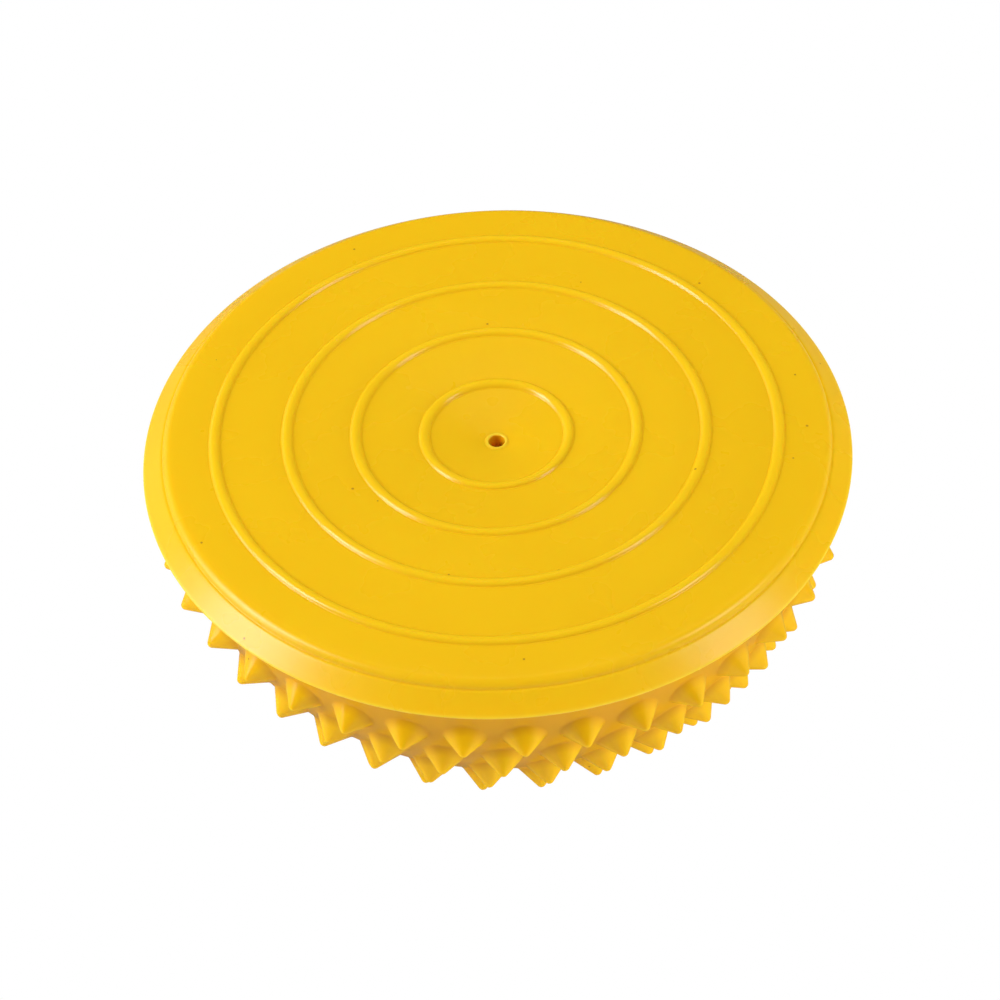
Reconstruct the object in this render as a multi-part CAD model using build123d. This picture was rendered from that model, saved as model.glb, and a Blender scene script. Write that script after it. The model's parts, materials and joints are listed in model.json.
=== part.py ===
from build123d import *
import os
from math import asin, atan2, cos, degrees, hypot, pi, radians, sin, sqrt, tan

# Spiked half-ball balance pod: hollow, air-filled, in soft PVC, with a needle valve.
# It stands dome down.  +Z is up, the flat base face is on top, and the origin is on the
# centre line at the height of the lowest spike tips.  All sizes are in millimetres.

# Base disc
rim_diameter = 160.0        # over the crisp edge of the bevelled rim
bevel_width = 4.8           # radial width of the bevel
bevel_drop = 3.65           # height of the bevel
shoulder_width = 2.0        # rounded edge between the flat face and the bevel
shoulder_drop = 1.5
rim_edge_height = 0.4       # upright edge under the bevel
base_wall = 3.2
dish_radius = 52.0          # the face is flat outside this radius and dished inside it
dish_depth = 5.5            # depth of the dish on the centre line

# Concentric ribs on the base face
rib_height = 0.8
rib_foot_width = 2.6
rib_land_width = 0.8        # narrow level land along the crest
inner_rib_radii = (16.3, 31.7, 47.1)
outer_rib_inset = 11.8      # from the crease round the face in to the outermost rib

# Joint between the base disc and the dome
rim_overhang = 4.0          # how far the rim stands out past the dome's skin
mouth_below_centre = 4.3    # the dome is this much short of a full half-ball
spigot_height = 6.0
spigot_wall = 2.4
bond_gap = 0.15             # radial room for the adhesive

# Dome and its spikes
dome_wall = 2.4
spike_base_radius = 4.8
spike_height = 4.8          # from the skin to the blunt tip
spike_tip_radius = 1.1
spike_spacing = 12.5        # between neighbours in a row, along the skin
row_spacing = 11.0          # between rows, along the skin
first_row_distance = 13.7   # from the mouth to the first row, along the skin
crown_distance = 11.8       # from the pole to the last row, along the skin
root_depth = 1.0            # how deep a spike's root is merged into the wall
first_row_turn = 2.2        # degrees from -Y to the nearest spike of the first row
row_lean = 4.15             # degrees that each row falls behind the row above it
row_lean_easing = 0.45      # and how that lag shrinks from row to row

# Inflation valve
port_radius = 1.8
port_lip_radius = 0.4
pad_radius = 9.5            # level pad under the middle of the base disc, for the valve
pad_wall = 4.0
housing_radius = 7.0
housing_length = 13.0
housing_flange_radius = 9.0
housing_flange_height = 1.6
core_radius = 3.6
core_length = 10.5
core_head_radius = 5.0
core_head_height = 1.8
core_gap = 0.05             # radial room round the rubber core
funnel_radius = 1.3
funnel_depth = 1.6
needle_channel_radius = 0.45
needle_channel_depth = 6.5

# Radii that follow from the rim
rim_radius = rim_diameter / 2
crease_radius = rim_radius - bevel_width
flat_radius = crease_radius - shoulder_width
rib_radii = (*inner_rib_radii, crease_radius - outer_rib_inset)
skin_radius = rim_radius - rim_overhang
cavity_radius = skin_radius - dome_wall
tip_radius = skin_radius + spike_height
mouth_radius = sqrt(skin_radius**2 - mouth_below_centre**2)
spigot_reach = mouth_below_centre + spigot_height
spigot_radius = sqrt(cavity_radius**2 - spigot_reach**2) - bond_gap
dish_curve_radius = (dish_radius**2 + dish_depth**2) / (2 * dish_depth)

# Heights, up from the lowest spike tips
crown_angle = crown_distance / skin_radius
dome_centre_z = (tip_radius - spike_tip_radius) * cos(crown_angle) + spike_tip_radius
mouth_z = dome_centre_z - mouth_below_centre
rim_z = mouth_z + rim_edge_height
crease_z = rim_z + bevel_drop
face_z = crease_z + shoulder_drop
pad_z = face_z - dish_depth - pad_wall
housing_end_z = pad_z - housing_length


def revolved(lines):
    """A solid of revolution from lines drawn as (radius, height) round a closed section."""
    return revolve(Plane.XZ * make_face(lines), axis=Axis.Z)


def face_height(radius):
    """Height of the base face, without its ribs, at a distance from the centre line."""
    inward = max(dish_radius - radius, 0.0)
    return face_z - dish_curve_radius + sqrt(dish_curve_radius**2 - inward**2)


def face_line(start_radius, end_radius, drop=0.0):
    """The plain face between two radii, lowered by drop: an arc in the dish, a line outside it."""
    if min(start_radius, end_radius) >= dish_radius:
        return [Line((start_radius, face_z - drop), (end_radius, face_z - drop))]
    if max(start_radius, end_radius) > dish_radius:
        inside = face_line(start_radius, dish_radius, drop)
        return inside + face_line(dish_radius, end_radius, drop)
    radii = (start_radius, (start_radius + end_radius) / 2, end_radius)
    return [ThreePointArc(*[(r, face_height(r) - drop) for r in radii])]


def rib_line(radius):
    """The raised outline of one rib, from its inner foot to its outer foot."""
    foot = rib_foot_width / 2
    land = rib_land_width / 2
    crest_z = face_height(radius) + rib_height
    return [Polyline(
        (radius - foot, face_height(radius - foot)),
        (radius - land, crest_z),
        (radius + land, crest_z),
        (radius + foot, face_height(radius + foot)),
    )]


def ribbed_face():
    """The top outline of the base disc, from the port's lip to the start of the shoulder."""
    lines = []
    start = port_radius + port_lip_radius
    for radius in rib_radii:
        lines += face_line(start, radius - rib_foot_width / 2)
        lines += rib_line(radius)
        start = radius + rib_foot_width / 2
    return lines + face_line(start, flat_radius)


def make_base_disc():
    lip_radius = port_radius + port_lip_radius
    lip_z = face_height(lip_radius)
    lip_diagonal = port_lip_radius * (1 - sin(radians(45)))
    shoulder_radius = (shoulder_width**2 + shoulder_drop**2) / (2 * shoulder_drop)
    shoulder_turn = asin(shoulder_width / shoulder_radius) / 2
    shoulder_middle = (
        flat_radius + shoulder_radius * sin(shoulder_turn),
        face_z - shoulder_radius * (1 - cos(shoulder_turn)),
    )
    port_lip = ThreePointArc(
        (port_radius, lip_z - port_lip_radius),
        (port_radius + lip_diagonal, lip_z - lip_diagonal),
        (lip_radius, lip_z),
    )
    shoulder = ThreePointArc((flat_radius, face_z), shoulder_middle, (crease_radius, crease_z))
    spigot_inner_radius = spigot_radius - spigot_wall
    ceiling_z = face_z - base_wall
    edge = Polyline(
        (crease_radius, crease_z),
        (rim_radius, rim_z),
        (rim_radius, mouth_z),
        (spigot_radius, mouth_z),
        (spigot_radius, mouth_z - spigot_height),
        (spigot_inner_radius, mouth_z - spigot_height),
        (spigot_inner_radius, ceiling_z),
    )
    ceiling = face_line(pad_radius, spigot_inner_radius, drop=base_wall)
    pad = Polyline(
        (pad_radius, face_height(pad_radius) - base_wall),
        (pad_radius, pad_z),
        (port_radius, pad_z),
        (port_radius, lip_z - port_lip_radius),
    )
    return revolved([port_lip, *ribbed_face(), shoulder, edge, *ceiling, pad])


def sphere_arc(radius):
    """The dome's outline at this radius, from the mouth down to the pole."""
    mouth_angle = asin(mouth_below_centre / radius)
    middle_angle = (mouth_angle + pi / 2) / 2
    angles = (mouth_angle, middle_angle, pi / 2)
    return [(radius * cos(a), dome_centre_z - radius * sin(a)) for a in angles]


def make_dome_wall():
    skin = sphere_arc(skin_radius)
    cavity = sphere_arc(cavity_radius)
    return revolved([
        ThreePointArc(*skin),
        Line(skin[-1], cavity[-1]),
        ThreePointArc(*cavity),
        Line(cavity[0], skin[0]),
    ])


def make_spike():
    """One round blunt spike along +Z, at its distance from the dome's centre."""
    base_z = sqrt(skin_radius**2 - spike_base_radius**2)
    ball_z = tip_radius - spike_tip_radius
    slant = hypot(spike_base_radius, ball_z - base_z)
    half_angle = atan2(spike_base_radius, ball_z - base_z) - asin(spike_tip_radius / slant)
    root_z = base_z - root_depth
    root_radius = spike_base_radius + root_depth * tan(half_angle)
    middle_angle = (half_angle + pi / 2) / 2
    flank_end = (spike_tip_radius * cos(half_angle), ball_z + spike_tip_radius * sin(half_angle))
    tip_middle = (spike_tip_radius * cos(middle_angle), ball_z + spike_tip_radius * sin(middle_angle))
    body = Polyline((0, tip_radius), (0, root_z), (root_radius, root_z), flank_end)
    return revolved([body, ThreePointArc(flank_end, tip_middle, (0, tip_radius))])


def spike_places():
    """Angle below the dome's equator and turn from -Y, in degrees, of every spike."""
    first_angle = asin(mouth_below_centre / skin_radius) + first_row_distance / skin_radius
    last_angle = pi / 2 - crown_angle
    steps = max(round((last_angle - first_angle) * skin_radius / row_spacing), 1)
    places = []
    for row in range(steps + 1):
        angle = first_angle + (last_angle - first_angle) * row / steps
        count = max(round(2 * pi * skin_radius * cos(angle) / spike_spacing), 3)
        turn = first_row_turn - row_lean * row + row_lean_easing * row**2
        places += [(degrees(angle), turn + 360 * k / count) for k in range(count)]
    return places


def make_dome_shell():
    spike = make_spike()
    centre = Pos(0, 0, dome_centre_z)
    spikes = [centre * Rot(0, 0, turn) * Rot(90 + angle, 0, 0) * spike for angle, turn in spike_places()]
    return make_dome_wall().fuse(*spikes)


def make_valve_housing():
    bore_radius = core_radius + core_gap
    seat_radius = core_head_radius + core_gap
    return revolved([Polyline(
        (seat_radius, pad_z),
        (housing_flange_radius, pad_z),
        (housing_flange_radius, pad_z - housing_flange_height),
        (housing_radius, pad_z - housing_flange_height),
        (housing_radius, housing_end_z),
        (bore_radius, housing_end_z),
        (bore_radius, pad_z - core_head_height),
        (seat_radius, pad_z - core_head_height),
        close=True,
    )])


def make_valve_core():
    return revolved([Polyline(
        (funnel_radius, pad_z),
        (core_head_radius, pad_z),
        (core_head_radius, pad_z - core_head_height),
        (core_radius, pad_z - core_head_height),
        (core_radius, pad_z - core_length),
        (0, pad_z - core_length),
        (0, pad_z - needle_channel_depth),
        (needle_channel_radius, pad_z - needle_channel_depth),
        (needle_channel_radius, pad_z - funnel_depth),
        close=True,
    )])


nodes = {
    "base_disc": make_base_disc,
    "dome_shell": make_dome_shell,
    "valve_housing": make_valve_housing,
    "valve_core": make_valve_core,
}
os.makedirs("parts", exist_ok=True)
for node, make in nodes.items():
    solid = make()
    solid.label = node
    export_step(solid, f"parts/{node}.step")
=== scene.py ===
import json
import math

import bpy
import numpy as np
from mathutils import Matrix, Vector

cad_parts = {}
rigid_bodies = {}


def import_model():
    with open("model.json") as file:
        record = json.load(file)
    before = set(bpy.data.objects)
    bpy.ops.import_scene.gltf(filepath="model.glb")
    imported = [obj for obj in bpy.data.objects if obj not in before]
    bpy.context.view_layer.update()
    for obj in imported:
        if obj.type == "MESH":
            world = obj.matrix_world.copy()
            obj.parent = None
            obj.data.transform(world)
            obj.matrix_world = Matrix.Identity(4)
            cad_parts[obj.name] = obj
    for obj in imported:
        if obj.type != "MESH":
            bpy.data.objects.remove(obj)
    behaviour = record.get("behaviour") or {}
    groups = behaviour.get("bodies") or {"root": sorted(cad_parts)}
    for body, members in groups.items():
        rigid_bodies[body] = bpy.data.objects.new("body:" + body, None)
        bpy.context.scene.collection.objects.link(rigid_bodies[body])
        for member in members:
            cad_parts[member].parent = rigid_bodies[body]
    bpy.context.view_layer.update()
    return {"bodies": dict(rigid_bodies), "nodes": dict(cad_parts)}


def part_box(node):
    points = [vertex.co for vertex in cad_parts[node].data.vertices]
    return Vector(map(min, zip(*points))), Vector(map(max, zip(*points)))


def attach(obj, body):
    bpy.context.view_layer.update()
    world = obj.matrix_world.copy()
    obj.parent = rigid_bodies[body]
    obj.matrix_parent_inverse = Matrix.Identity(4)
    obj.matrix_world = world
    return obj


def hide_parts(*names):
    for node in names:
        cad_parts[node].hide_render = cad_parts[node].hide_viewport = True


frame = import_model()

MM = 0.001

# ---------------------------------------------------------------- sizes, in millimetres
# Outer sizes come from the frame, and the shapes on them are those of the CAD parts.
disc_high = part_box("base_disc")[1] / MM
dome_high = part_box("dome_shell")[1] / MM
RIM_RADIUS = disc_high.x
TOP_Z = disc_high.z
MOUTH_Z = dome_high.z

RIB_HEIGHT = 0.8
RIB_HALF_WIDTH = 1.25
RIB_FOOT_BLEND = 0.07
RIB_MARGIN = 0.35           # finely sampled face beside each rib
RIB_RADII = (16.3, 31.7, 47.1, 63.4)
BEVEL_WIDTH = 4.8
RIM_EDGE_HEIGHT = 0.4
RIM_ROUNDING = 0.35         # where the bevel starts to round into the rim's edge
SHOULDER_WIDTH = 2.0
SHOULDER_DROP = 1.5
BASE_WALL = 3.2
DISH_RADIUS = 52.0
DISH_DEPTH = 5.5
PORT_RADIUS = 1.8
PORT_LIP = 0.4
PORT_LIP_RISE = 0.3
PORT_LIP_REACH = 0.65       # from the lip's crest to where it meets the face
PORT_LIP_SAMPLED = 0.8
PAD_RADIUS = 9.5
PAD_WALL = 4.0
SPIGOT_HEIGHT = 6.0
SPIGOT_WALL = 2.4
BOND_GAP = 0.15
SPIGOT_CHAMFER = 0.3
CEILING_CHAMFER = 1.0
DISC_SEGMENTS = 288

RIM_OVERHANG = 4.0
MOUTH_BELOW_CENTRE = 4.3
DOME_WALL = 2.4
SPIKE_HEIGHT = 4.8
SPIKE_BASE_RADIUS = 4.8
SPIKE_TIP_RADIUS = 1.1
SPIKE_ROOT_FILLET = 1.0
SPIKE_SPACING = 12.5
ROW_SPACING = 11.0
FIRST_ROW_DISTANCE = 13.7
CROWN_DISTANCE = 11.8
FIRST_ROW_TURN = 2.2
ROW_LEAN = 4.15
ROW_LEAN_EASING = 0.45
SPIKE_VARIATION = 0.010     # spread of each spike's lean and stretch
CELL_EDGE_STEP = 1.25       # spacing of mesh points along the edges between spikes
SKIN_RING_SHARE = 0.45      # place of the extra ring between a spike's root and its cell's edge
FLOOR_CLEARANCE = 0.001     # no spike tip is lower than this

FACE_Z = TOP_Z - RIB_HEIGHT
CREASE_RADIUS = RIM_RADIUS - BEVEL_WIDTH
CREASE_Z = FACE_Z - SHOULDER_DROP
FLAT_RADIUS = CREASE_RADIUS - SHOULDER_WIDTH
RIM_Z = MOUTH_Z + RIM_EDGE_HEIGHT
DISH_CURVE_RADIUS = (DISH_RADIUS**2 + DISH_DEPTH**2) / (2 * DISH_DEPTH)
PAD_Z = FACE_Z - DISH_DEPTH - PAD_WALL
SKIN_RADIUS = RIM_RADIUS - RIM_OVERHANG
CAVITY_RADIUS = SKIN_RADIUS - DOME_WALL
TIP_RADIUS = SKIN_RADIUS + SPIKE_HEIGHT
DOME_CENTRE_Z = MOUTH_Z + MOUTH_BELOW_CENTRE
SPIGOT_RADIUS = math.sqrt(CAVITY_RADIUS**2 - (MOUTH_BELOW_CENTRE + SPIGOT_HEIGHT) ** 2) - BOND_GAP

rng = np.random.default_rng(7)


# ---------------------------------------------------------------- mesh helpers
def piece_from(name, verts_mm, faces, material):
    """A smooth-shaded mesh object from vertices in millimetres, riding on the pod's only body."""
    mesh = bpy.data.meshes.new(name)
    mesh.from_pydata((np.asarray(verts_mm) * MM).tolist(), [], faces)
    mesh.validate()
    mesh.shade_smooth()
    mesh.update()
    obj = bpy.data.objects.new(name, mesh)
    bpy.context.scene.collection.objects.link(obj)
    mesh.materials.append(material)
    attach(obj, next(iter(frame["bodies"])))
    return obj


def arc_points(centre, radius, start_deg, end_deg, steps):
    """Points (radius, height) along an arc in the half section."""
    angles = np.radians(np.linspace(start_deg, end_deg, steps + 1))
    return [(centre[0] + radius * math.cos(a), centre[1] + radius * math.sin(a)) for a in angles]


def revolve_closed(outline, segments):
    """Vertices and quads of a closed half section turned round the centre line."""
    outline = np.asarray(outline)
    count = len(outline)
    turns = np.arange(segments) * 2 * math.pi / segments
    verts = np.concatenate([
        np.stack([outline[:, 0] * math.cos(t), outline[:, 0] * math.sin(t), outline[:, 1]], axis=1)
        for t in turns
    ])
    faces = []
    for s in range(segments):
        here, there = s * count, (s + 1) % segments * count
        for k in range(count):
            after = (k + 1) % count
            faces.append((here + k, here + after, there + after, there + k))
    return verts, faces


# ---------------------------------------------------------------- base disc
def face_height(radius):
    inward = np.maximum(DISH_RADIUS - radius, 0.0)
    return FACE_Z - DISH_CURVE_RADIUS + np.sqrt(DISH_CURVE_RADIUS**2 - inward**2)


def rib_rise(radius):
    """How far the ribs stand above the face at a radius: a round bead with a small fillet at each foot."""
    bead = (RIB_HALF_WIDTH**2 + RIB_HEIGHT**2) / (2 * RIB_HEIGHT)
    offset = min(abs(radius - rib) for rib in RIB_RADII)
    rise = math.sqrt(max(bead**2 - offset**2, 0.0)) - bead + RIB_HEIGHT
    return (rise + math.hypot(rise, RIB_FOOT_BLEND)) / 2 * RIB_HEIGHT / (RIB_HEIGHT + RIB_FOOT_BLEND**2 / 3)


def lip_rise(radius):
    """The slightly raised ring round the port."""
    offset = (radius - PORT_RADIUS - PORT_LIP) / PORT_LIP_REACH
    return PORT_LIP_RISE * math.cos(math.pi / 2 * offset) ** 2 if abs(offset) < 1 else 0.0


def face_radii():
    """Radii sampled along the face: close together at the lip and the ribs, and wider between them."""
    lip = PORT_RADIUS + PORT_LIP
    radii = list(np.linspace(lip, lip + PORT_LIP_SAMPLED, 6, endpoint=False))
    start = lip + PORT_LIP_SAMPLED
    for rib in RIB_RADII:
        foot = rib - RIB_HALF_WIDTH - RIB_MARGIN
        radii += list(np.linspace(start, foot, 8, endpoint=False))
        radii += list(np.linspace(foot, 2 * rib - foot, 26, endpoint=False))
        start = 2 * rib - foot
    return radii + list(np.linspace(start, FLAT_RADIUS, 6, endpoint=False))


def bevel_and_rim():
    """The groove at the crease, the bevel, and the rim's edge down to the underside."""
    groove = [(0.05, 0.16), (0.16, 0.25), (0.32, 0.27), (0.50, 0.30), (0.70, 0.42)]
    points = [(CREASE_RADIUS + out, CREASE_Z - down) for out, down in groove]
    slope = math.atan2(CREASE_Z - RIM_Z, BEVEL_WIDTH)
    bevel_start = points[-1]
    bevel_end = (RIM_RADIUS - RIM_ROUNDING * math.cos(slope), RIM_Z + RIM_ROUNDING * math.sin(slope))
    for share in (0.15, 0.4, 0.7, 0.9):
        points.append(tuple(a + (b - a) * share for a, b in zip(bevel_start, bevel_end)))
    return points + [
        bevel_end,
        (RIM_RADIUS - 0.10, RIM_Z + 0.06),
        (RIM_RADIUS, RIM_Z - 0.10),
        (RIM_RADIUS - 0.02, MOUTH_Z + 0.10),
        (RIM_RADIUS - 0.14, MOUTH_Z),
    ]


def disc_underside(lip_z):
    """The underside, the spigot, the ceiling inside it, and the pad round the port."""
    inner = SPIGOT_RADIUS - SPIGOT_WALL
    ceiling = FACE_Z - BASE_WALL
    end = MOUTH_Z - SPIGOT_HEIGHT
    points = [(r, MOUTH_Z) for r in np.linspace(RIM_RADIUS - 1.0, SPIGOT_RADIUS, 5)]
    points += [
        (SPIGOT_RADIUS, end + SPIGOT_CHAMFER),
        (SPIGOT_RADIUS - SPIGOT_CHAMFER, end),
        (inner + SPIGOT_CHAMFER, end),
        (inner, end + SPIGOT_CHAMFER),
        (inner, ceiling - CEILING_CHAMFER),
        (inner - CEILING_CHAMFER, ceiling),
    ]
    points += [(r, float(face_height(r)) - BASE_WALL) for r in np.linspace(inner - 3, PAD_RADIUS + 0.5, 16)]
    return points + [
        (PAD_RADIUS, float(face_height(PAD_RADIUS)) - BASE_WALL - 0.5),
        (PAD_RADIUS, PAD_Z),
        (PORT_RADIUS, PAD_Z),
        (PORT_RADIUS, (PAD_Z + lip_z) / 2),
    ]


def disc_outline():
    """Closed half section of the base disc, from the port's lip outwards and back underneath."""
    lip_radius = PORT_RADIUS + PORT_LIP
    lip_z = float(face_height(lip_radius)) + PORT_LIP_RISE
    outline = arc_points((lip_radius, lip_z - PORT_LIP), PORT_LIP, 180, 90, 5)[:-1]
    outline += [(r, float(face_height(r)) + rib_rise(r) + lip_rise(r)) for r in face_radii()]
    shoulder_radius = (SHOULDER_WIDTH**2 + SHOULDER_DROP**2) / (2 * SHOULDER_DROP)
    turn = math.degrees(math.asin(SHOULDER_WIDTH / shoulder_radius))
    outline += arc_points((FLAT_RADIUS, FACE_Z - shoulder_radius), shoulder_radius, 90, 90 - turn, 10)
    return outline + bevel_and_rim() + disc_underside(lip_z)


def make_base_disc(material):
    verts, faces = revolve_closed(disc_outline(), DISC_SEGMENTS)
    return piece_from("base_disc_skin", verts, faces, material)


# ---------------------------------------------------------------- spiked dome
def spike_axes():
    """Unit axes of all spikes, and of the ghost row above the first that bounds its cells."""
    first = math.asin(MOUTH_BELOW_CENTRE / SKIN_RADIUS) + FIRST_ROW_DISTANCE / SKIN_RADIUS
    last = math.pi / 2 - CROWN_DISTANCE / SKIN_RADIUS
    steps = round((last - first) * SKIN_RADIUS / ROW_SPACING)
    axes, ghosts = [], []
    for row in range(steps + 1):
        angle = first + (last - first) * row / steps
        count = round(2 * math.pi * SKIN_RADIUS * math.cos(angle) / SPIKE_SPACING)
        turn = math.radians(FIRST_ROW_TURN - ROW_LEAN * row + ROW_LEAN_EASING * row**2)
        for k in range(count):
            t = turn + 2 * math.pi * k / count
            axes.append(direction(angle, t))
            if row == 0:
                ghosts.append(direction(0.0, t))
    return np.array(axes), np.array(ghosts)


def direction(below, turn):
    """Unit vector at an angle below the equator and a turn from -Y towards +X."""
    return (math.cos(below) * math.sin(turn), -math.cos(below) * math.cos(turn), -math.sin(below))


def tangent_basis(axis):
    side = np.cross(axis, (0.0, 0.0, 1.0))
    side /= np.linalg.norm(side)
    return side, np.cross(axis, side)


def cell_corners(axis, others):
    """Corners of the patch of dome nearest to this spike, with the number of the neighbour past each edge."""
    side, up = tangent_basis(axis)
    reach = math.tan(math.radians(25))  # half width of the square that the neighbours cut down
    corners = [((-reach, -reach), -1), ((reach, -reach), -1), ((reach, reach), -1), ((-reach, reach), -1)]
    near = [j for j in np.argsort(-(others @ axis)) if 1e-9 < 1 - others[j] @ axis][:14]
    for j in near:
        normal = axis - others[j]
        c0, cu, cv = normal @ axis, normal @ side, normal @ up
        kept = []
        for k, (p, label) in enumerate(corners):
            q, _ = corners[(k + 1) % len(corners)]
            dp, dq = c0 + p[0] * cu + p[1] * cv, c0 + q[0] * cu + q[1] * cv
            cross = None
            if (dp > 0) != (dq > 0):
                s = dp / (dp - dq)
                cross = (p[0] + (q[0] - p[0]) * s, p[1] + (q[1] - p[1]) * s)
            if dp > 0:
                kept.append((p, label))
                if cross:
                    kept.append((cross, j))
            elif cross:
                kept.append((cross, label))
        corners = kept
    points = [axis + p[0] * side + p[1] * up for p, _ in corners]
    return [q / np.linalg.norm(q) for q in points], [label for _, label in corners]


def spike_profile():
    """Half section of a spike as (distance off its axis, distance from the dome's centre), tip first."""
    base_z = math.sqrt(SKIN_RADIUS**2 - SPIKE_BASE_RADIUS**2)
    ball_z = TIP_RADIUS - SPIKE_TIP_RADIUS
    slant = math.hypot(SPIKE_BASE_RADIUS, ball_z - base_z)
    half = math.atan2(SPIKE_BASE_RADIUS, ball_z - base_z) - math.asin(SPIKE_TIP_RADIUS / slant)
    tip = [
        (SPIKE_TIP_RADIUS * math.sin(a), ball_z + SPIKE_TIP_RADIUS * math.cos(a))
        for a in np.linspace(0, math.pi / 2 - half, 5)[1:]
    ]
    fillet = SPIKE_ROOT_FILLET
    skin_tilt = math.asin(SPIKE_BASE_RADIUS / SKIN_RADIUS)
    turn = math.pi / 2 - half - skin_tilt
    run = fillet * math.tan(turn / 2)
    flank_end = (SPIKE_BASE_RADIUS - run * math.sin(half), base_z + run * math.cos(half))
    centre = (flank_end[0] + fillet * math.cos(half), flank_end[1] + fillet * math.sin(half))
    flank = [
        (tip[-1][0] + (flank_end[0] - tip[-1][0]) * s, tip[-1][1] + (flank_end[1] - tip[-1][1]) * s)
        for s in (0.25, 0.5, 0.75)
    ]
    start = math.pi + half
    root = [
        (centre[0] + fillet * math.cos(start + turn * s), centre[1] + fillet * math.sin(start + turn * s))
        for s in np.linspace(0, 1, 5)
    ]
    return tip + flank + root


class Welder:
    """Gives points that lie on the same spot the same number."""

    def __init__(self):
        self.points, self.cells = [], {}

    def add(self, point):
        self.points.append(np.asarray(point, float))
        return len(self.points) - 1

    def number(self, point, grain=2e-4):
        key = tuple(int(round(c / grain)) for c in point)
        for dx in (0, -1, 1):
            for dy in (0, -1, 1):
                for dz in (0, -1, 1):
                    for n in self.cells.get((key[0] + dx, key[1] + dy, key[2] + dz), ()):
                        if np.linalg.norm(self.points[n] - point) < grain:
                            return n
        n = self.add(point)
        self.cells.setdefault(key, []).append(n)
        return n


def dome_cells(axes, ghosts, welder):
    """The loop of points round each spike's cell, and the edges that lie along the plain band at the mouth."""
    others = np.concatenate([axes, ghosts])
    edge_step = CELL_EDGE_STEP / SKIN_RADIUS
    on_edge = {}
    loops, top_edges = [], []
    for axis in axes:
        points, labels = cell_corners(axis, others)
        numbers = [welder.number(p) for p in points]
        loop = []
        for k, start in enumerate(numbers):
            end = numbers[(k + 1) % len(numbers)]
            if start == end:
                continue
            key = (min(start, end), max(start, end))
            if key not in on_edge:
                a, b = welder.points[key[0]], welder.points[key[1]]
                span = math.acos(min(1.0, a @ b))
                parts = max(1, round(span / edge_step))
                between = [a + (b - a) * s / parts for s in range(1, parts)]
                on_edge[key] = [welder.add(q / np.linalg.norm(q)) for q in between]
            inner = on_edge[key] if start == key[0] else on_edge[key][::-1]
            edge = [start] + inner
            loop += edge
            if labels[k] >= len(axes):
                top_edges.append(edge + [end])
        loops.append(loop)
    return loops, top_edges


def add_spike(verts, faces, axis, loop, rim, profile):
    """One spike with a slight random lean and stretch, and the skin from its root out to its cell's loop."""
    side, up = tangent_basis(axis)
    count = len(loop)
    seen = np.unwrap(np.arctan2(rim @ up, rim @ side))
    even = seen[0] + np.arange(count) * 2 * math.pi / count * np.sign(seen[-1] - seen[0])
    even += (seen - even).mean()
    lean = rng.normal(0, SPIKE_VARIATION, 2)
    stretch = 1 + rng.normal(0, SPIKE_VARIATION)
    tilted = axis + side * lean[0] + up * lean[1]
    rings = []
    for radius, height in profile:
        rise = (height - SKIN_RADIUS) * stretch
        centre = axis * SKIN_RADIUS + tilted * rise if rise > 0 else axis * (SKIN_RADIUS + rise)
        rings.append([centre + radius * (side * math.cos(t) + up * math.sin(t)) for t in even])
    root = np.array(rings[-1])
    root_dirs = root / np.linalg.norm(root, axis=1)[:, None]
    mixed = root_dirs + (rim - root_dirs) * SKIN_RING_SHARE
    mixed /= np.linalg.norm(mixed, axis=1)[:, None]
    rings.append(list(mixed * SKIN_RADIUS))

    apex = len(verts)
    verts.append(axis * SKIN_RADIUS + tilted * SPIKE_HEIGHT * stretch)
    first = len(verts)
    for ring in rings:
        verts += ring
    flip = seen[-1] < seen[0]
    last = first + (len(rings) - 1) * count
    for m in range(count):
        n = (m + 1) % count
        around = [(apex, first + m, first + n)]
        for k in range(len(rings) - 1):
            a, b = first + k * count + m, first + k * count + n
            around.append((a, a + count, b + count, b))
        around.append((last + m, loop[m], loop[n], last + n))
        faces += [face[::-1] if flip else face for face in around]


def add_band_and_cavity(verts, faces, top_edges):
    """The plain band from the first row's cells up to the mouth, then the mouth's end face and the cavity."""
    previous = sorted(
        {n for edge in top_edges for n in edge},
        key=lambda n: math.atan2(verts[n][1], verts[n][0]),
    )
    columns = len(previous)
    turns = np.array([math.atan2(verts[n][1], verts[n][0]) for n in previous])
    below = np.array([math.asin(-verts[n][2] / SKIN_RADIUS) for n in previous])
    mouth = math.asin(MOUTH_BELOW_CENTRE / SKIN_RADIUS)
    cavity_mouth = math.asin(MOUTH_BELOW_CENTRE / CAVITY_RADIUS)
    rings = [(SKIN_RADIUS, below + (mouth - below) * share) for share in (0.35, 0.7, 1.0)]
    rings += [
        (CAVITY_RADIUS, np.full(columns, angle))
        for angle in np.linspace(cavity_mouth, math.pi / 2, 36, endpoint=False)
    ]
    for radius, angles in rings:
        ring = list(range(len(verts), len(verts) + columns))
        for t, a in zip(turns, angles):
            outward = (math.cos(t) * math.cos(a), math.sin(t) * math.cos(a), -math.sin(a))
            verts.append(np.array(outward) * radius)
        for m in range(columns):
            n = (m + 1) % columns
            faces.append((previous[m], previous[n], ring[n], ring[m]))
        previous = ring
    faces.append(tuple(previous[::-1]))


def make_dome(material):
    axes, ghosts = spike_axes()
    welder = Welder()
    loops, top_edges = dome_cells(axes, ghosts, welder)
    verts = [p * SKIN_RADIUS for p in welder.points]
    faces = []
    profile = spike_profile()
    for axis, loop in zip(axes, loops):
        rim = np.array([welder.points[n] for n in loop])
        add_spike(verts, faces, axis, loop, rim, profile)
    add_band_and_cavity(verts, faces, top_edges)
    verts = np.array(verts)
    verts[:, 2] = np.maximum(verts[:, 2] + DOME_CENTRE_Z, FLOOR_CLEARANCE)
    return piece_from("dome_skin", verts, faces, material)


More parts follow.
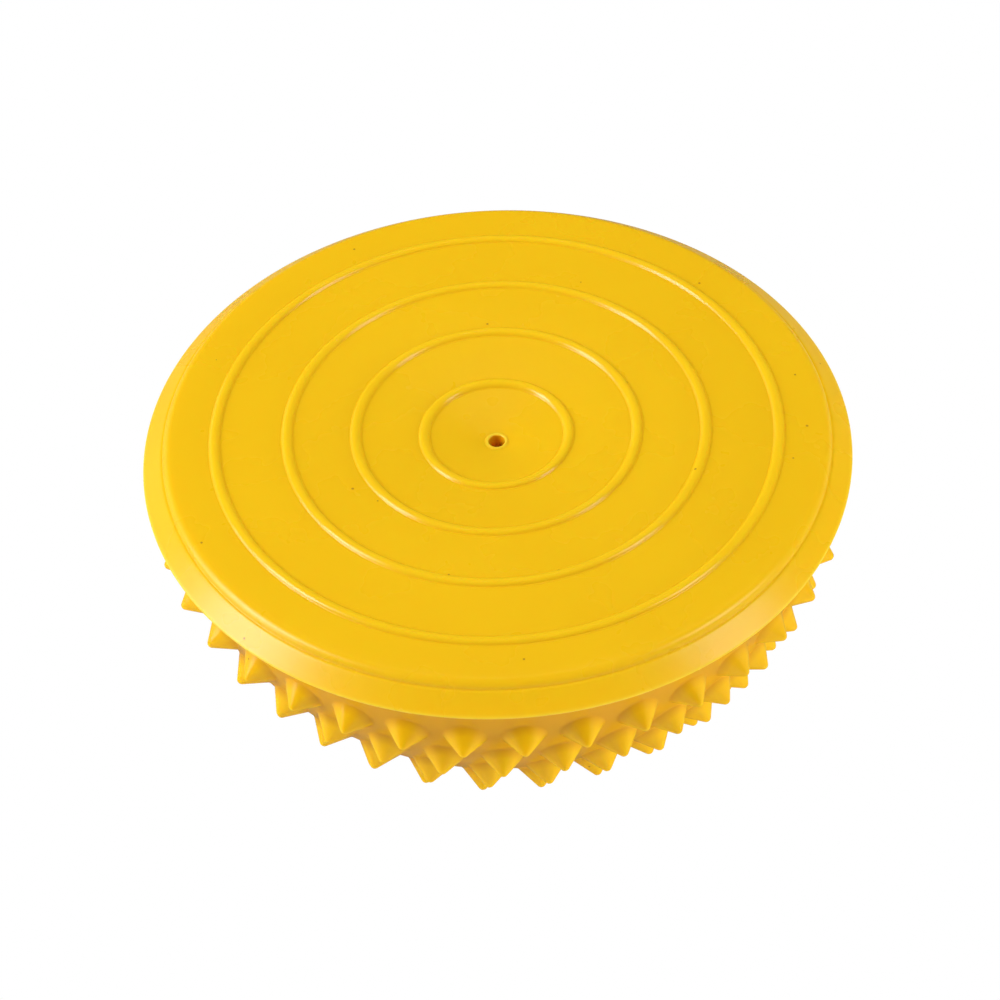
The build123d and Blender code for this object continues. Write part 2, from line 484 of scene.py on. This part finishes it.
# ---------------------------------------------------------------- materials
# Scales of the procedural patterns, in cells per metre
CLOUD_SCALE = 28.0
SPECK_SCALE = 110.0
GLOSS_SCALE = 60.0
TEXTURE_SCALE = 900.0
SPECK_RADIUS = 0.035        # as a share of a cell
RIB_POLISH = 0.6            # roughness of the ribs as a share of the face's
GLOSS_SPREAD = 0.03


def new_material(name):
    material = bpy.data.materials.new(name)
    material.use_nodes = True
    nodes, links = material.node_tree.nodes, material.node_tree.links
    shader = next(n for n in nodes if n.type == "BSDF_PRINCIPLED")
    place = nodes.new("ShaderNodeTexCoord")
    return material, nodes, links, shader, place.outputs["Object"]


def noise_node(nodes, links, place, scale, detail=3.0, roughness=0.5):
    node = nodes.new("ShaderNodeTexNoise")
    node.inputs["Scale"].default_value = scale
    node.inputs["Detail"].default_value = detail
    node.inputs["Roughness"].default_value = roughness
    links.new(place, node.inputs["Vector"])
    return node.outputs["Fac"]


def ramp_node(nodes, links, value, stops):
    node = nodes.new("ShaderNodeValToRGB")
    ramp = node.color_ramp
    for position, colour in stops[1:-1]:
        ramp.elements.new(position)
    for element, (position, colour) in zip(ramp.elements, stops):
        element.position = position
        element.color = (*colour, 1.0)
    links.new(value, node.inputs["Fac"])
    return node.outputs["Color"]


def grey(value):
    return (value, value, value)


def tinted(nodes, links, colour, distance, full, none, tint):
    """A colour that turns to the tint as a distance goes from none to full."""
    share = nodes.new("ShaderNodeMapRange")
    share.inputs["From Min"].default_value = none * MM
    share.inputs["From Max"].default_value = full * MM
    links.new(distance, share.inputs["Value"])
    mix = nodes.new("ShaderNodeMix")
    mix.data_type = "RGBA"
    mix.inputs["B"].default_value = (*tint, 1.0)
    links.new(share.outputs["Result"], mix.inputs["Factor"])
    links.new(colour, mix.inputs["A"])
    return mix.outputs["Result"]


def distance_node(nodes, links, place, centre, height_factor):
    """Distance from a point on the pod's centre line. A height factor of 0 leaves height out of it."""
    offset = nodes.new("ShaderNodeVectorMath")
    offset.operation = "SUBTRACT"
    offset.inputs[1].default_value = (0.0, 0.0, centre * MM)
    links.new(place, offset.inputs[0])
    scaled = nodes.new("ShaderNodeVectorMath")
    scaled.operation = "MULTIPLY"
    scaled.inputs[1].default_value = (1.0, 1.0, height_factor)
    links.new(offset.outputs["Vector"], scaled.inputs[0])
    reach = nodes.new("ShaderNodeVectorMath")
    reach.operation = "LENGTH"
    links.new(scaled.outputs["Vector"], reach.inputs[0])
    return reach.outputs["Value"]


def multiplied(nodes, links, first, second):
    """Two colours or grey levels multiplied together."""
    mix = nodes.new("ShaderNodeMix")
    mix.data_type = "RGBA"
    mix.blend_type = "MULTIPLY"
    mix.inputs["Factor"].default_value = 1.0
    links.new(first, mix.inputs["A"])
    links.new(second, mix.inputs["B"])
    return mix.outputs["Result"]


def across_node(nodes, links, place):
    """Distance from the centre line as a share of the rim's radius."""
    across = nodes.new("ShaderNodeMath")
    across.operation = "DIVIDE"
    across.inputs[1].default_value = RIM_RADIUS * MM
    links.new(distance_node(nodes, links, place, 0.0, 0.0), across.inputs[0])
    return across.outputs["Value"]


def ring_stops(profile):
    """Ramp stops that are white but for the given offsets and colours about each rib's radius."""
    stops = [(0.0, grey(1.0))]
    for radius in RIB_RADII:
        stops += [((radius + offset) / RIM_RADIUS, colour) for offset, colour in profile]
    return stops + [(1.0, grey(1.0))]


def polished_ribs(nodes, links, place, roughness):
    """Roughness lowered on the ribs, which the mould left smoother."""
    polish = grey(RIB_POLISH)
    profile = [(-1.5, grey(1.0)), (-1.1, polish), (1.1, polish), (1.5, grey(1.0))]
    ribs = ramp_node(nodes, links, across_node(nodes, links, place), ring_stops(profile))
    return multiplied(nodes, links, roughness, ribs)


def painted_rib_and_rim_light(nodes, links, place, colour):
    """Painted highlight along the ribs' crests and painted shade at their feet, a painted highlight on the
    port's lip with painted shade just outside it, and a painted reflection line at the rim's edge.
    """
    across = across_node(nodes, links, place)
    # painted shade at each rib's feet, painted highlight along its crest
    foot, crest = (0.96, 0.94, 0.85), (1.03, 1.075, 1.5)
    profile = [
        (-1.9, grey(1.0)), (-1.35, foot), (-0.95, crest),
        (0.95, crest), (1.35, foot), (1.9, grey(1.0)),
    ]
    colour = multiplied(nodes, links, colour, ramp_node(nodes, links, across, ring_stops(profile)))
    # painted highlight on the lip, painted shade in the ring outside it, painted reflection line at the rim's
    # edge
    lip, groove, edge = (1.08, 1.20, 6.0), (0.95, 0.95, 0.8), (1.05, 1.20, 7.0)
    reach = PORT_RADIUS + PORT_LIP
    stops = [
        (0.0, grey(1.0)),
        ((reach - 0.25) / RIM_RADIUS, lip),
        ((reach + 0.05) / RIM_RADIUS, lip),
        ((reach + 0.5) / RIM_RADIUS, groove),
        ((reach + 1.3) / RIM_RADIUS, grey(1.0)),
        (1.0 - 0.35 / RIM_RADIUS, grey(1.0)),
        (1.0 - 0.2 / RIM_RADIUS, edge),
        (1.0, edge),
    ]
    return multiplied(nodes, links, colour, ramp_node(nodes, links, across, stops))


def specked(nodes, links, place, colour):
    """A colour with a few small brown specks in it."""
    speck = nodes.new("ShaderNodeTexVoronoi")
    speck.inputs["Scale"].default_value = SPECK_SCALE
    links.new(place, speck.inputs["Vector"])
    pick = nodes.new("ShaderNodeMath")
    pick.operation = "LESS_THAN"
    pick.inputs[1].default_value = SPECK_RADIUS
    links.new(speck.outputs["Distance"], pick.inputs[0])
    mix = nodes.new("ShaderNodeMix")
    mix.data_type = "RGBA"
    mix.inputs["B"].default_value = (0.50, 0.24, 0.01, 1.0)
    links.new(pick.outputs["Value"], mix.inputs["Factor"])
    links.new(colour, mix.inputs["A"])
    return mix.outputs["Result"]


def textured(nodes, links, place, shader, scale, strength):
    """A fine bump over the whole surface."""
    bump = nodes.new("ShaderNodeBump")
    bump.inputs["Strength"].default_value = strength
    bump.inputs["Distance"].default_value = 0.0001
    links.new(noise_node(nodes, links, place, scale, 2.0), bump.inputs["Height"])
    links.new(bump.outputs["Normal"], shader.inputs["Normal"])


def soft_pvc(name, roughness, blue, ribbed, centre, height_factor, full, none, tint):
    """Satin yellow PVC: slightly cloudy colour, a few specks and a fine texture.

    The colour turns to the tint, which paints the shade and bounced light of a hollow, as the distance from a
    point on the centre line goes from none to full.
    """
    material, nodes, links, shader, place = new_material(name)
    cloud = noise_node(nodes, links, place, CLOUD_SCALE, 4.0)
    colour = ramp_node(nodes, links, cloud, [
        (0.20, (0.874, 0.512, blue)),
        (0.80, (0.904, 0.542, blue + 0.001)),
    ])
    colour = specked(nodes, links, place, colour)
    # the ribbed disc also gets painted highlights and shade on its ribs, its lip and its rim edge
    if ribbed:
        colour = painted_rib_and_rim_light(nodes, links, place, colour)
    distance = distance_node(nodes, links, place, centre, height_factor)
    links.new(tinted(nodes, links, colour, distance, full, none, tint), shader.inputs["Base Color"])
    gloss = noise_node(nodes, links, place, GLOSS_SCALE, 3.0)
    rough = ramp_node(nodes, links, gloss, [
        (0.2, grey(roughness - GLOSS_SPREAD)),
        (0.8, grey(roughness + GLOSS_SPREAD)),
    ])
    if ribbed:
        rough = polished_ribs(nodes, links, place, rough)
    links.new(rough, shader.inputs["Roughness"])
    textured(nodes, links, place, shader, TEXTURE_SCALE, 0.12)
    shader.inputs["IOR"].default_value = 1.45
    shader.inputs["Subsurface Weight"].default_value = 0.30
    shader.inputs["Subsurface Radius"].default_value = (1.0, 0.5, 0.1)
    shader.inputs["Subsurface Scale"].default_value = 0.003
    return material


def plain_rubber(name, dark, light, roughness):
    """Matt moulded rubber with a slight bloom."""
    material, nodes, links, shader, place = new_material(name)
    cloud = noise_node(nodes, links, place, 180.0, 4.0)
    links.new(ramp_node(nodes, links, cloud, [(0.3, dark), (0.7, light)]), shader.inputs["Base Color"])
    gloss = noise_node(nodes, links, place, 420.0, 2.0)
    stops = [(0.3, grey(roughness - 0.06)), (0.7, grey(roughness + 0.06))]
    links.new(ramp_node(nodes, links, gloss, stops), shader.inputs["Roughness"])
    textured(nodes, links, place, shader, 1500.0, 0.2)
    return material


def dress(node, material):
    mesh = frame["nodes"][node].data
    mesh.materials.clear()
    mesh.materials.append(material)


# ---------------------------------------------------------------- the pod
# The disc's colour deepens inside the port, painted colour of the light bouncing in the bore, and the dome's
# deepens from the spikes down to the skin between them, painted shade between the spikes
# the tint inside the port is painted bounce light in the bore
smooth_pvc = soft_pvc(
    "smooth_soft_pvc", roughness=0.28, blue=0.005, ribbed=True, centre=0.0, height_factor=0.0,
    full=PORT_RADIUS + 0.02, none=PORT_RADIUS + 0.12, tint=(0.95, 0.49, 0.004),
)
disc = make_base_disc(smooth_pvc)
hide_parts("base_disc")
# the tint on the skin between the spikes is painted shade
spiked_pvc = soft_pvc(
    "spiked_soft_pvc", roughness=0.22, blue=0.001, ribbed=False, centre=DOME_CENTRE_Z, height_factor=1.0,
    full=SKIN_RADIUS, none=SKIN_RADIUS + 1.7, tint=(0.74, 0.36, 0.005),
)
dome = make_dome(spiked_pvc)
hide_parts("dome_shell")
dress("valve_housing", plain_rubber("valve_boss_pvc", (0.72, 0.38, 0.01), (0.80, 0.44, 0.02), 0.5))
dress("valve_core", plain_rubber("valve_core_rubber", (0.80, 0.36, 0.008), (0.86, 0.40, 0.010), 0.6))


# ---------------------------------------------------------------- stage, light and camera
POD = Vector((0.0, 0.0, 0.06))  # what the lights face, in metres


def floor_sheet(name, height, albedo, glow):
    half = 6.0
    corners = [(-half, -half, height), (half, -half, height), (half, half, height), (-half, half, height)]
    mesh = bpy.data.meshes.new(name)
    mesh.from_pydata(corners, [], [(0, 1, 2, 3)])
    floor = bpy.data.objects.new(name, mesh)
    bpy.context.scene.collection.objects.link(floor)
    material, _, _, shader, _ = new_material(name)
    shader.inputs["Base Color"].default_value = (*grey(albedo), 1.0)
    shader.inputs["Roughness"].default_value = 1.0
    shader.inputs["Specular IOR Level"].default_value = 0.0
    shader.inputs["Emission Color"].default_value = (1.0, 1.0, 1.0, 1.0)
    shader.inputs["Emission Strength"].default_value = glow
    mesh.materials.append(material)
    return floor


def make_floor():
    """Three sheets: evenly white for the camera, grey in reflections, and one that throws light back up."""
    seen = floor_sheet("floor", -0.0001, 0.0, 1.0)
    seen.visible_diffuse = seen.visible_glossy = seen.visible_transmission = seen.visible_shadow = False
    mirrored = floor_sheet("floor_sheen", -0.001, 0.25, 0.0)
    mirrored.visible_camera = mirrored.visible_diffuse = False
    mirrored.visible_transmission = mirrored.visible_shadow = False
    bounce = floor_sheet("floor_bounce", -0.002, 0.8, 0.5)
    bounce.visible_camera = bounce.visible_glossy = False


def softbox(name, turn, rise, distance, size, radiance, mirrored=True):
    """A rectangular light facing the pod, turned from -Y towards +X and raised, both in degrees.

    One that is not mirrored lights the pod without showing in its gloss.
    """
    data = bpy.data.lights.new(name, "AREA")
    data.shape = "RECTANGLE"
    data.size, data.size_y = size
    data.energy = radiance * math.pi * size[0] * size[1]
    light = bpy.data.objects.new(name, data)
    offset = Vector(direction(math.radians(-rise), math.radians(turn)))
    light.location = POD + offset * distance
    light.rotation_euler = (-offset).to_track_quat("-Z", "Y").to_euler()
    light.visible_glossy = mirrored
    bpy.context.scene.collection.objects.link(light)


make_floor()
softbox("left_softbox", turn=-82, rise=37, distance=1.15, size=(0.46, 0.60), radiance=8.6)
softbox("left_wall", turn=-85, rise=12, distance=1.5, size=(1.1, 0.55), radiance=3.2)
softbox("back_left_wall", turn=-128, rise=11, distance=1.6, size=(1.1, 0.6), radiance=0.45)
softbox("left_fill", turn=-90, rise=40, distance=1.5, size=(0.8, 0.6), radiance=1.2, mirrored=False)
softbox("right_softbox", turn=72, rise=39, distance=1.15, size=(0.34, 0.50), radiance=4.9)
softbox("right_fill", turn=68, rise=5, distance=1.5, size=(1.2, 0.5), radiance=7.0, mirrored=False)
softbox("overhead", turn=170, rise=68, distance=1.4, size=(0.7, 0.7), radiance=5.6, mirrored=False)

world = bpy.data.worlds.new("studio")
bpy.context.scene.world = world
world.use_nodes = True
background = world.node_tree.nodes["Background"]
background.inputs["Color"].default_value = (1.0, 1.0, 1.0, 1.0)
background.inputs["Strength"].default_value = 0.08

# Angle and distance of the camera from the middle of the top, in metres
ELEVATION = math.radians(45.04)
DISTANCE = 0.6143
ROLL = math.radians(-2.71)
AIM_BELOW_TOP = 0.02516
AIM_X = 0.0001
FOCAL_PIXELS = 2733.0
IMAGE_PIXELS = 1000
SENSOR = 36.0

camera_data = bpy.data.cameras.new("camera")
camera_data.sensor_width = SENSOR
camera_data.lens = FOCAL_PIXELS * SENSOR / IMAGE_PIXELS
camera = bpy.data.objects.new("camera", camera_data)
top_centre = Vector((0, 0, TOP_Z * MM))
camera.location = top_centre + DISTANCE * Vector((0, -math.cos(ELEVATION), math.sin(ELEVATION)))
aim = top_centre + Vector((AIM_X, 0, -AIM_BELOW_TOP))
look = (aim - camera.location).to_track_quat("-Z", "Y").to_matrix()
camera.rotation_euler = (look @ Matrix.Rotation(ROLL, 3, "Z")).to_euler()
bpy.context.scene.collection.objects.link(camera)
bpy.context.scene.camera = camera
bpy.context.scene.view_settings.view_transform = "Standard"
bpy.context.scene.view_settings.look = "None"
